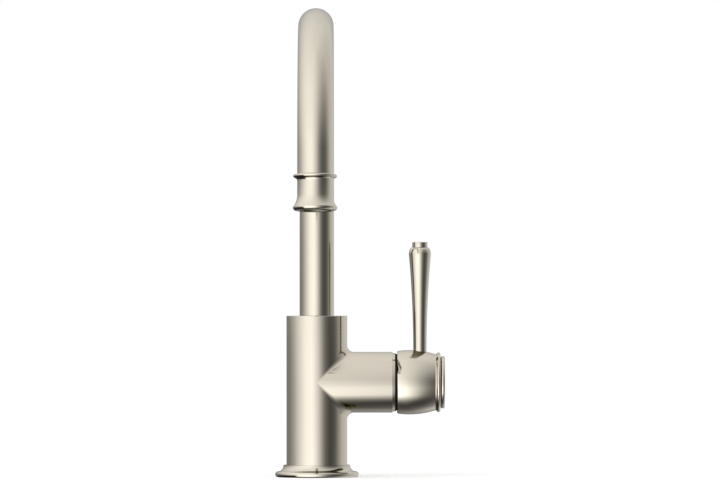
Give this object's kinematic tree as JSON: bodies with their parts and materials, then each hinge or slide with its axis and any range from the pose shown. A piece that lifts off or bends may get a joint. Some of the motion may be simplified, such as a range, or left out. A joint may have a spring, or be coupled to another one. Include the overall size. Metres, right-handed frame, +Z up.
{
  "type": "gooseneck basin mixer",
  "caption": "Deck-mounted basin mixer: straight round body with a side branch and upright lever, a tall swivelling gooseneck spout, and an aerator outlet.",
  "frame": {"origin": "mouth of the fixing stud's threaded hole, on the deck plane and on the body's axis", "axes": "+Z up along the body, -Y the way the spout points, +X along the side branch to the lever"},
  "size_m": [0.1258, 0.2477, 0.3434],
  "materials": {
    "satin_nickel": "brass castings and tube, satin nickel plated",
    "raw_brass": "machined, unplated",
    "steel": "machined stainless steel",
    "black_rubber": "moulded EPDM",
    "white_acetal": "moulded",
    "grey_acetal": "moulded",
    "blue_acetal": "moulded",
    "alumina": "lapped alumina"
  },
  "bodies": {
    "mixer_body": {"body_casting": "satin_nickel", "base_flange": "satin_nickel", "base_seal": "black_rubber", "branch_dome": "satin_nickel", "wiper_ring": "black_rubber", "cartridge_nut": "raw_brass", "cartridge_housing": "white_acetal", "cartridge_base": "white_acetal", "port_seals": "black_rubber", "disc_seals": "black_rubber", "fixed_disc": "alumina", "spout_slip_ring": "white_acetal", "spout_grub_screw": "steel"},
    "spout": {"spout_tube": "satin_nickel", "spout_spigot": "raw_brass", "spout_o_rings": "black_rubber", "outlet_collar": "satin_nickel", "aerator_housing": "satin_nickel", "aerator_core": "grey_acetal", "aerator_mesh": "steel", "aerator_washer": "black_rubber"},
    "rotor": {"cartridge_rotor": "grey_acetal", "rotor_seal": "black_rubber", "pivot_pin": "steel"},
    "disc_slider": {"moving_disc": "alumina", "disc_carrier": "blue_acetal"},
    "handle": {"cartridge_spindle": "steel", "handle_hub": "satin_nickel", "hub_bead_ring": "satin_nickel", "hub_end_cap": "satin_nickel", "hub_screw": "steel", "lever_stud": "steel", "lever_rod": "satin_nickel", "lever_tip": "satin_nickel"}
  },
  "joints": [
    {"name": "spout_swivel", "type": "hinge", "parent": "mixer_body", "child": "spout", "pos_m": [0, 0, 0.0975], "axis": [0, 0, 1], "continuous": true},
    {"name": "temperature_turn", "type": "hinge", "parent": "mixer_body", "child": "rotor", "pos_m": [0.0405, 0, 0.0702], "axis": [1, 0, 0], "range_deg": [-45, 45]},
    {"name": "flow_tilt", "type": "hinge", "parent": "rotor", "child": "handle", "pos_m": [0.04605, 0, 0.0702], "axis": [0, 1, 0], "range_deg": [0, 20]},
    {"name": "disc_slide", "type": "slide", "parent": "rotor", "child": "disc_slider", "axis": [0, 0, 1], "range_m": [0, 0.0033]}
  ],
  "couplings": [
    {"joint": "disc_slide", "follows": "flow_tilt", "m_per_rad": 0.009}
  ]
}
